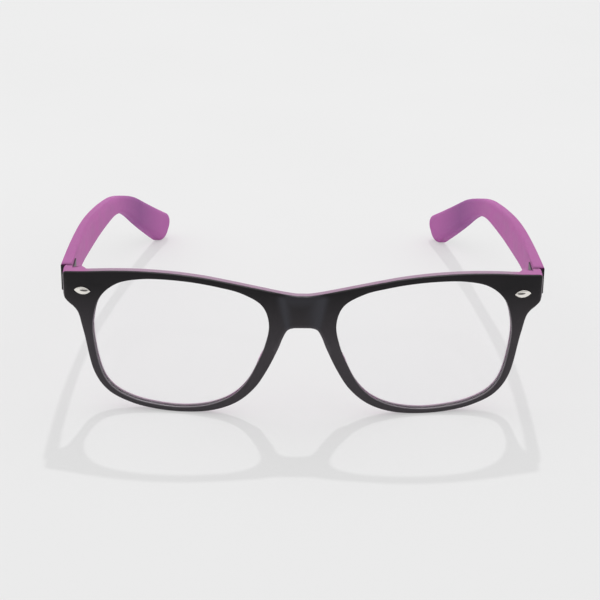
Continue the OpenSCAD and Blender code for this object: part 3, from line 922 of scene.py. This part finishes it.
def oval(grow):
    """The pointed oval where two equal discs overlap."""
    half_l = RIVET_L / 2 + grow
    half_h = RIVET_H / 2 + grow
    radius = (half_l * half_l + half_h * half_h) / (2 * half_h)
    start = math.atan2(radius - half_h, half_l)
    turns = np.linspace(start, math.pi - start, OVAL_STEPS + 1)[:-1]
    upper = np.column_stack([radius * np.cos(turns), radius * np.sin(turns) - (radius - half_h)])
    return np.vstack([upper, -upper])


def painted_rivet_reflection_at(p):
    """A painted dark reflection on a rivet's head, above its middle and towards the nose."""
    along = (RIVET_X - np.abs(p[:, 0]) - STREAK_X) / STREAK_HALF_L
    up = (p[:, 2] - RIVET_Z - STREAK_Z) / STREAK_HALF_H
    return fall(along ** 2 + up ** 2, *STREAK_EDGE) * (behind_face(p) < 0)


def round_like(loop, radius):
    return loop / np.linalg.norm(loop, axis=1)[:, None] * radius


def at_rivet(side, loop, depth):
    """Places a loop at a depth behind the rivet's own seat on the face, in the upright front."""
    return turned(side, loop[:, 0], depth, RIVET_Z + loop[:, 1], RIVET_X, RIVET_TURN)


# The front's outer shot
def at_depth(q, depth):
    """Places points of the front view on a sheet behind the front's face."""
    return np.column_stack([q[:, 0], sheet_y(q[:, 0], depth), q[:, 1]])


def at_face(q, drop=0.0):
    return at_depth(q, face_depth(q) + drop)


def faced_opening(side, grow, drop):
    flat = opening_at(side, grow, 0)[:, [0, 2]]
    return opening_at(side, grow, face_depth(flat) + drop)


def front_outer():
    shell = Shell((0, 2))
    rings = [at_face(grown(OUTLINE, -inset), drop) for inset, drop in quarter(FACE_ROUND)]
    rings.append(at_depth(OUTLINE, OUTER_T - SEAM))
    rings.append(at_depth(grown(OUTLINE, -SEAM), OUTER_T))
    first, last = shell.chain(rings)
    fronts = [first]
    backs = [last]
    groove = GROOVE_D + LENS_CLR
    for side in SIDES.values():
        rings = [faced_opening(side, inset, drop) for inset, drop in quarter(OPENING_ROUND, 4)]
        rings.append(opening_at(side, 0, LENS_INSET - LENS_CLR))
        rings.append(opening_at(side, groove, LENS_INSET - LENS_CLR))
        rings.append(opening_at(side, groove, OUTER_T))
        first, last = shell.chain(rings)
        fronts.append(first)
        backs.append(last)
        seat = oval(RIVET_CLR)
        hole = round_like(seat, RIVET_PIN_R + RIVET_CLR)
        lip = at_rivet(side, oval(RIVET_LIP), 0)[:, [0, 2]]
        rings = [at_face(lip), at_rivet(side, seat, RIVET_LIP_DROP), at_rivet(side, seat, RIVET_SEAT)]
        rings.append(at_rivet(side, hole, RIVET_SEAT))
        rings.append(at_depth(at_rivet(side, hole, OUTER_T)[:, [0, 2]], OUTER_T))
        first, last = shell.chain(rings)
        fronts.append(first)
        backs.append(last)
    inner = [hex_grid(*WHOLE_FRONT, FACE_PITCH), hex_grid(*BRIDGE_PATCH, BRIDGE_PITCH)]
    shell.cap(fronts, np.vstack(inner), at_face)
    shell.cap(backs, hex_grid(*WHOLE_FRONT, HIDDEN_PITCH), lambda q: at_depth(q, OUTER_T))
    return shell


# The front's inner shot, with the nose pads and the end blocks
def at_back(q, drop=0.0):
    return np.column_stack([q[:, 0], back_y(q) - drop, q[:, 1]])


def front_inner():
    shell = Shell((0, 2))
    rings = [at_depth(grown(OUTLINE, -SEAM), OUTER_T), at_depth(OUTLINE, OUTER_T + SEAM)]
    near = at_depth(OUTLINE, RIM_T - BACK_ROUND)
    far = at_back(OUTLINE, BACK_ROUND)
    rings += [near + t * (far - near) for t in (0, 1 / 3, 2 / 3)]
    rings += [at_back(grown(OUTLINE, -inset), drop) for inset, drop in reversed(quarter(BACK_ROUND, 6))]
    first, last = shell.chain(rings)
    fronts = [first]
    backs = [last]
    groove = GROOVE_D + LENS_CLR
    for side in SIDES.values():
        rings = [opening_at(side, groove, OUTER_T), opening_at(side, groove, LENS_INSET + LENS_T + LENS_CLR)]
        rings.append(opening_at(side, 0, LENS_INSET + LENS_T + LENS_CLR))
        for inset, drop in reversed(quarter(BACK_OPENING_ROUND, 4)):
            rings.append(at_back(opening_at(side, inset, RIM_T)[:, [0, 2]], drop))
        first, last = shell.chain(rings)
        fronts.append(first)
        backs.append(last)
        hole = round_like(oval(0), RIVET_PIN_R + RIVET_CLR)
        rings = [at_depth(at_rivet(side, hole, OUTER_T)[:, [0, 2]], OUTER_T)]
        rings.append(at_rivet(side, hole, RIM_T - PIN_WALL + RIVET_CLR))
        first, last = shell.chain(rings)
        fronts.append(first)
        shell.fan(last)
    inner = [hex_grid(*WHOLE_FRONT, BACK_PITCH)]
    for side in SIDES.values():
        inner.append(hex_grid(*on_side(side, PAD_PATCH), PAD_PITCH))
        inner.append(hex_grid(*on_side(side, BLOCK_PATCH), BLOCK_PITCH))
        for x in (NOTCH_X - NOTCH_EDGE, NOTCH_X + NOTCH_EDGE):
            inner.append(rows([(side * x, z) for z in np.arange(*NOTCH_ROW)]))
    shell.cap(fronts, hex_grid(*WHOLE_FRONT, HIDDEN_PITCH), lambda q: at_depth(q, OUTER_T))
    shell.cap(backs, np.vstack(inner), at_back)
    return shell


def lens_shell(side):
    """A curved clear slab with bevelled edges, in its own plane until it is placed."""
    shell = Shell((0, 2))
    near = LENS_INSET
    far = LENS_INSET + LENS_T
    plan = [(GROOVE_D - LENS_BEVEL, near), (GROOVE_D, near + LENS_BEVEL)]
    plan += [(GROOVE_D, far - LENS_BEVEL), (GROOVE_D - LENS_BEVEL, far)]
    first, last = shell.chain([at_depth(grown(LENS_OUTLINE, grow), depth) for grow, depth in plan])
    inner = hex_grid((-LENS_W / 2, -LENS_H / 2), (LENS_W / 2, LENS_H / 2), LENS_PITCH)
    shell.cap([first], inner, lambda q: at_depth(q, near))
    shell.cap([last], inner, lambda q: at_depth(q, far))
    p = rows(shell.points)
    placed = turned(side, p[:, 0], p[:, 1], LENS_CZ + p[:, 2], LENS_CX, LENS_TURN)
    shell.points = [tuple(v) for v in placed]
    return shell


def rivet_shell(side):
    """The rivet's domed pointed-oval head and its pin."""
    shell = Shell((0, 2))
    edge = oval(0)
    rings = []
    for share in DOME_SHARES:
        dome = RIVET_RIM_RISE + (RIVET_RISE - RIVET_RIM_RISE) * math.sqrt(1 - RIVET_CROWN * share ** 2)
        rings.append(at_rivet(side, edge * share, -dome + RIVET_LIP_DROP * (share == 1.0)))
    rings.append(at_rivet(side, edge, RIVET_SEAT))
    pin = round_like(edge, RIVET_PIN_R)
    rings.append(at_rivet(side, pin, RIVET_SEAT))
    rings.append(at_rivet(side, pin, RIM_T - PIN_WALL))
    first, last = shell.chain(rings)
    shell.fan(last)
    shell.fan(first, at_rivet(side, np.zeros((1, 2)), -RIVET_RISE)[0])
    return shell


# Temples, by height along the arm in the side view
HEIGHT_KNOTS = [
    (0, END_H), (0.17, (END_H + 2 * TEMPLE_MID_H) / 3 - 0.2), (0.34, TEMPLE_MID_H),
    (0.5, (TEMPLE_MID_H + TEMPLE_BEND_H) / 2 + 0.6), (0.67, TEMPLE_BEND_H),
    (0.8, (TEMPLE_BEND_H + TIP_H) / 2 - 0.2), (1, TIP_H),
]
HEIGHT_CURVE = open_curve(HEIGHT_KNOTS, 4)


def temple_edge(s, up):
    """A point of the temple's upper or lower edge at a length along it."""
    past = max(0, s - TEMPLE_L + TIP_R)
    cut = TIP_R - math.sqrt(max(0, TIP_R ** 2 - past ** 2))
    half = np.interp(s / TEMPLE_L, HEIGHT_CURVE[:, 0], HEIGHT_CURVE[:, 1]) / 2 - cut
    turn = PITCH + min(max(s - TEMPLE_STRAIGHT, 0), BEND_L) / BEND_R
    first = min(s, TEMPLE_STRAIGHT)
    last = max(s - TEMPLE_STRAIGHT - BEND_L, 0)
    y = first * math.cos(PITCH) + BEND_R * (math.sin(turn) - math.sin(PITCH)) + last * math.cos(turn)
    drop = first * math.sin(PITCH) + BEND_R * (math.cos(PITCH) - math.cos(turn)) + last * math.sin(turn)
    return BUTT_Y + y + up * half * math.sin(turn), END_MID_Z - drop + up * half * math.cos(turn)


def temple_loops():
    """The side views of the temple and of the outer shot inside its border, point for point."""
    station_l = TEMPLE_L - TIP_R
    stations = list(np.linspace(TEMPLE_START, station_l, TEMPLE_STATIONS))
    stations += [station_l + TIP_R * math.sin(math.radians(a)) for a in range(TIP_TURN, 91, TIP_TURN)]
    line = {up: rows([temple_edge(s, up) for s in stations]) for up in (-1, 1)}
    inset = grown(np.vstack([line[-1], line[1][::-1]]), -SKIN_BORDER)
    inner = {-1: inset[:len(stations)], 1: inset[len(stations):][::-1]}
    behind_butt, off_edge = BUTT_CORNER * rows(BUTT_CORNER_SHAPE).T
    outer_half = {}
    inner_half = {}
    for up in (-1, 1):
        beyond = line[up][:, 0] > BUTT_Y + BUTT_CLEAR
        near = BUTT_Y + behind_butt
        z = np.interp(near, line[up][:, 0], line[up][:, 1]) - up * off_edge
        outer_half[up] = np.vstack([np.column_stack([near, z]), line[up][beyond]])
        z = np.interp(near, inner[up][:, 0], inner[up][:, 1])
        inner_half[up] = np.vstack([np.column_stack([near, z]), inner[up][beyond]])
    low = inner_half[-1][0, 1]
    high = inner_half[1][0, 1]
    end, next_to_end = BUTT_ENDS
    butt = [high - end, *np.linspace(high - next_to_end, low + next_to_end, BUTT_POINTS), low + end]
    butt = np.column_stack([np.full(len(butt), BUTT_Y), butt])
    outer = np.vstack([outer_half[-1], outer_half[1][::-1], butt])
    border = np.vstack([inner_half[-1], inner_half[1][::-1], butt])
    opened = np.arange(len(outer)) > len(outer) - len(butt)
    opened[-1] = False
    return outer, border, opened


TEMPLE_LOOP, SKIN_LOOP, BUTT_OPEN = temple_loops()


def bow_in(u):
    """How far a temple's outer face has come inwards at a length along y."""
    return BOW * (BOW_SQUARE * (u / TEMPLE_L) ** 2 + BOW_CUBE * (u / TEMPLE_L) ** 3)


def bow_slope(u):
    return BOW * (2 * BOW_SQUARE * u / TEMPLE_L ** 2 + 3 * BOW_CUBE * u ** 2 / TEMPLE_L ** 3)


def at_temple(q, depth):
    """Places points of the side view at a depth behind the temple's outer face."""
    y = q[:, 0]
    u = y - BUTT_Y
    for _ in range(4):
        slope = bow_slope(u)
        u = y - BUTT_Y + depth * slope / np.sqrt(1 + slope ** 2)
    inward = bow_in(u) + depth / np.sqrt(1 + bow_slope(u) ** 2)
    return np.column_stack([OUTER_X - inward, y, q[:, 1]])


def rounding(loop, depth, width, height, inward, ease):
    """Rings of a layer's rounded edge, from its face to its wall. It widens with the way from the butt."""
    start = BUTT_Y + EASE_START
    soft = rise(loop[:, 0], start, start + ease)
    tight = min(width, height, BUTT_ROUND)
    w = tight + (width - tight) * soft
    h = tight + (height - tight) * soft
    return [at_temple(grown(loop, -inset * w), depth + inward * drop * h) for inset, drop in quarter(1, 8)]


def close_temple(shell, loop, first, near, last, far):
    """Fills a temple layer's two sides, at a near and a far depth."""
    inner = hex_grid(loop.min(axis=0), loop.max(axis=0), TEMPLE_PITCH)
    shell.cap([first], inner, lambda q: at_temple(q, near))
    shell.cap([last], inner, lambda q: at_temple(q, far))
    return shell


def skin_shell():
    """The temple's outer shot, which lies in a recess of the inner shot and shows at the butt."""
    shell = Shell((1, 2))
    rings = rounding(SKIN_LOOP, 0, SKIN_ROUND, SKIN_ROUND, 1, SKIN_EASE)
    rings.append(at_temple(SKIN_LOOP, SKIN_T))
    first, last = shell.chain(rings)
    return close_temple(shell, SKIN_LOOP, first, 0, last, SKIN_T)


def core_shell():
    """The temple's inner shot: a border round the outer shot's recess, which is open at the butt."""
    shell = Shell((1, 2))
    rings = [(SKIN_LOOP, SKIN_T), (SKIN_LOOP, 2 * LIP), (grown(SKIN_LOOP, LIP), 0.0)]
    for inset, drop in quarter(BORDER_ROUND, 6):
        rings.append((grown(TEMPLE_LOOP, -inset), drop))
    placed = []
    for k, (q, depth) in enumerate(rings):
        q = q.copy()
        q[BUTT_OPEN, 0] = BUTT_Y + BUTT_STEP * (len(rings) - 1 - k)
        q[BUTT_OPEN, 1] = SKIN_LOOP[BUTT_OPEN, 1]
        placed.append(at_temple(q, np.where(BUTT_OPEN, SKIN_T, depth)))
    placed += rounding(TEMPLE_LOOP, TEMPLE_T, CORE_ROUND_W, CORE_ROUND, -1, CORE_EASE)[::-1]
    first, last = shell.chain(placed)
    return close_temple(shell, TEMPLE_LOOP, first, SKIN_T, last, TEMPLE_T)


def place_temple(side):
    def place(p):
        return np.column_stack([side * p[:, 0], p[:, 1] - MID_Y, np.maximum(p[:, 2], 0)])
    return place


# Building the pieces
def build():
    make_piece(
        "front_outer", front_outer(), leaned, "front", "front_outer_layer",
        BLACK, EDGES, FRONT_EDGE_W, marks={"band": painted_bridge_highlight_at, "glint": painted_glint_at},
    )
    make_piece(
        "front_inner", front_inner(), lambda p: leaned(splayed(p)), "front",
        "front_inner_layer", PURPLE, marks={"notch": painted_notch_shade_at, "strip": painted_brow_highlight_at, "wall": painted_wall_highlight_at},
    )
    for name, side in SIDES.items():
        make_piece(
            "clear_lens_" + name, lens_shell(side), leaned, "front", "lens_" + name, CLEAR
        )
        make_piece(
            "oval_rivet_" + name, rivet_shell(side), leaned, "front", "rivet_" + name,
            CHROME, sharp=RIVET_SHARP_ANGLE, marks={"streak": painted_rivet_reflection_at},
        )
        body = "temple_" + name
        place = place_temple(side)
        make_piece(
            "temple_outer_" + name, skin_shell(), place, body, "temple_skin_" + name,
            TEMPLE_BLACK, [SKIN_LOOP], SKIN_EDGE_W,
        )
        make_piece(
            "temple_inner_" + name, core_shell(), place, body, "temple_core_" + name,
            TEMPLE_PURPLE, [TEMPLE_LOOP], CORE_EDGE_W, marks={"corner": corner_at, "gap": painted_gap_shade_at},
        )
        for node in ("front_hinge_", "temple_hinge_", "hinge_screw_"):
            finish_hinge(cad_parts[node + name])


def finish_hinge(part):
    """Gives a CAD node of the hinge its material and fine bevels."""
    part.data.materials.clear()
    part.data.materials.append(SHADED_HINGE_METAL)
    bevel = part.modifiers.new("fine edges", "BEVEL")
    bevel.width = HINGE_BEVEL * MM
    bevel.segments = 2
    bevel.limit_method = "ANGLE"
    bevel.angle_limit = math.radians(SHARP_ANGLE)


# Floor, light and camera, in metres
FLOOR_HALF = 12.0
FLOOR_CELLS = 24
FLOOR_GAP = 0.0001
FLOOR_GLOW = 0.5
STUDIO_LIGHT = 0.74
SUN_LIGHT = 0.86
SUN_ANGLE = math.radians(1.6)
SUN_WAY = (-0.05, -0.64, -0.77)


def make_floor():
    """A plain pale floor. Half of what the camera, reflections and the lenses see of it is a glow."""
    mesh = bpy.data.meshes.new("floor")
    bm = bmesh.new()
    bmesh.ops.create_grid(bm, x_segments=FLOOR_CELLS, y_segments=FLOOR_CELLS, size=FLOOR_HALF)
    bm.to_mesh(mesh)
    bm.free()
    floor = bpy.data.objects.new("floor", mesh)
    floor.location = (0, 0, -FLOOR_GAP)
    bpy.context.collection.objects.link(floor)
    material, nodes, links, shader, where = new_material("pale floor")
    tone = ranged(nodes, links, noise(nodes, links, where, FLOOR_SCALE), 0.0, 1.0)
    pale = mixed(nodes, links, tone, (0.846, 0.846, 0.846), (0.834, 0.834, 0.834))
    split = nodes.new("ShaderNodeSeparateXYZ")
    links.new(where, split.inputs["Vector"])
    towards_camera = ranged(nodes, links, split.outputs["Y"], low=1.0, high=0.0, start=-0.2, stop=0.1)
    pale = mixed(nodes, links, towards_camera, pale, (0.815, 0.815, 0.815))
    links.new(pale, shader.inputs["Base Color"])
    shader.inputs["Roughness"].default_value = 0.9
    shader.inputs["Specular IOR Level"].default_value = 0.1
    glow = nodes.new("ShaderNodeEmission")
    links.new(pale, glow.inputs["Color"])
    path = nodes.new("ShaderNodeLightPath")
    seen = path.outputs["Is Camera Ray"]
    for ray in ("Is Glossy Ray", "Is Transmission Ray"):
        seen = joined(nodes, links, "MAXIMUM", seen, path.outputs[ray])
    share = ranged(nodes, links, seen, 0.0, FLOOR_GLOW, start=0.0, stop=1.0)
    blended(nodes, links, share, shader.outputs["BSDF"], glow.outputs["Emission"])
    mesh.materials.append(material)


def make_world():
    """A soft studio: bright overhead, at both sides and along the horizon, dimmest on the camera's side."""
    world = bpy.data.worlds.new("studio")
    bpy.context.scene.world = world
    world.use_nodes = True
    nodes = world.node_tree.nodes
    links = world.node_tree.links
    split = nodes.new("ShaderNodeSeparateXYZ")
    links.new(nodes.new("ShaderNodeTexCoord").outputs["Generated"], split.inputs["Vector"])
    across = nodes.new("ShaderNodeMath")
    across.operation = "ABSOLUTE"
    links.new(split.outputs["X"], across.inputs[0])
    above = ranged(nodes, links, split.outputs["Z"], low=0.25, high=1.15, start=0.1, stop=0.8)
    behind = ranged(nodes, links, split.outputs["Y"], low=0.0, high=0.3, start=-0.3, stop=0.6)
    beside = ranged(nodes, links, across.outputs["Value"], low=0.0, high=0.7, start=0.75, stop=1.0)
    horizon = ranged(nodes, links, split.outputs["Z"], low=1.13, high=0.0, start=0.14, stop=0.30)
    level = joined(nodes, links, "ADD", joined(nodes, links, "ADD", above, behind), beside)
    level = joined(nodes, links, "MAXIMUM", level, horizon)
    links.new(level, nodes["Background"].inputs["Color"])
    nodes["Background"].inputs["Strength"].default_value = STUDIO_LIGHT


def make_sun():
    """The one lamp that draws the pale shadow in front of the glasses."""
    data = bpy.data.lights.new("key", "SUN")
    data.energy = SUN_LIGHT
    data.angle = SUN_ANGLE
    lamp = bpy.data.objects.new("key", data)
    lamp.rotation_euler = Vector(SUN_WAY).to_track_quat("-Z", "Y").to_euler()
    bpy.context.collection.objects.link(lamp)


def make_camera():
    """The photograph's camera, found from the outline of the front and the temples."""
    elevation = math.radians(24.23)
    yaw = math.radians(0.5324)
    roll = math.radians(0.6565)
    focal_px = 1895
    image_px = 600
    film_mm = 36
    place = Vector((-0.00569, -0.5908, 0.2728))
    flat_ahead = Vector((math.sin(yaw), math.cos(yaw), 0))
    ahead = flat_ahead * math.cos(elevation) - Vector((0, 0, math.sin(elevation)))
    level = Vector((math.cos(yaw), -math.sin(yaw), 0))
    upward = level.cross(ahead)
    right = math.cos(roll) * level + math.sin(roll) * upward
    up = -math.sin(roll) * level + math.cos(roll) * upward
    data = bpy.data.cameras.new("camera")
    data.sensor_width = film_mm
    data.lens = focal_px / image_px * film_mm
    camera = bpy.data.objects.new("camera", data)
    facing = Matrix((right, up, -ahead)).transposed().to_4x4()
    camera.matrix_world = Matrix.Translation(place) @ facing
    bpy.context.collection.objects.link(camera)
    bpy.context.scene.camera = camera


build()
make_floor()
make_world()
make_sun()
make_camera()
bpy.context.scene.view_settings.view_transform = "Standard"
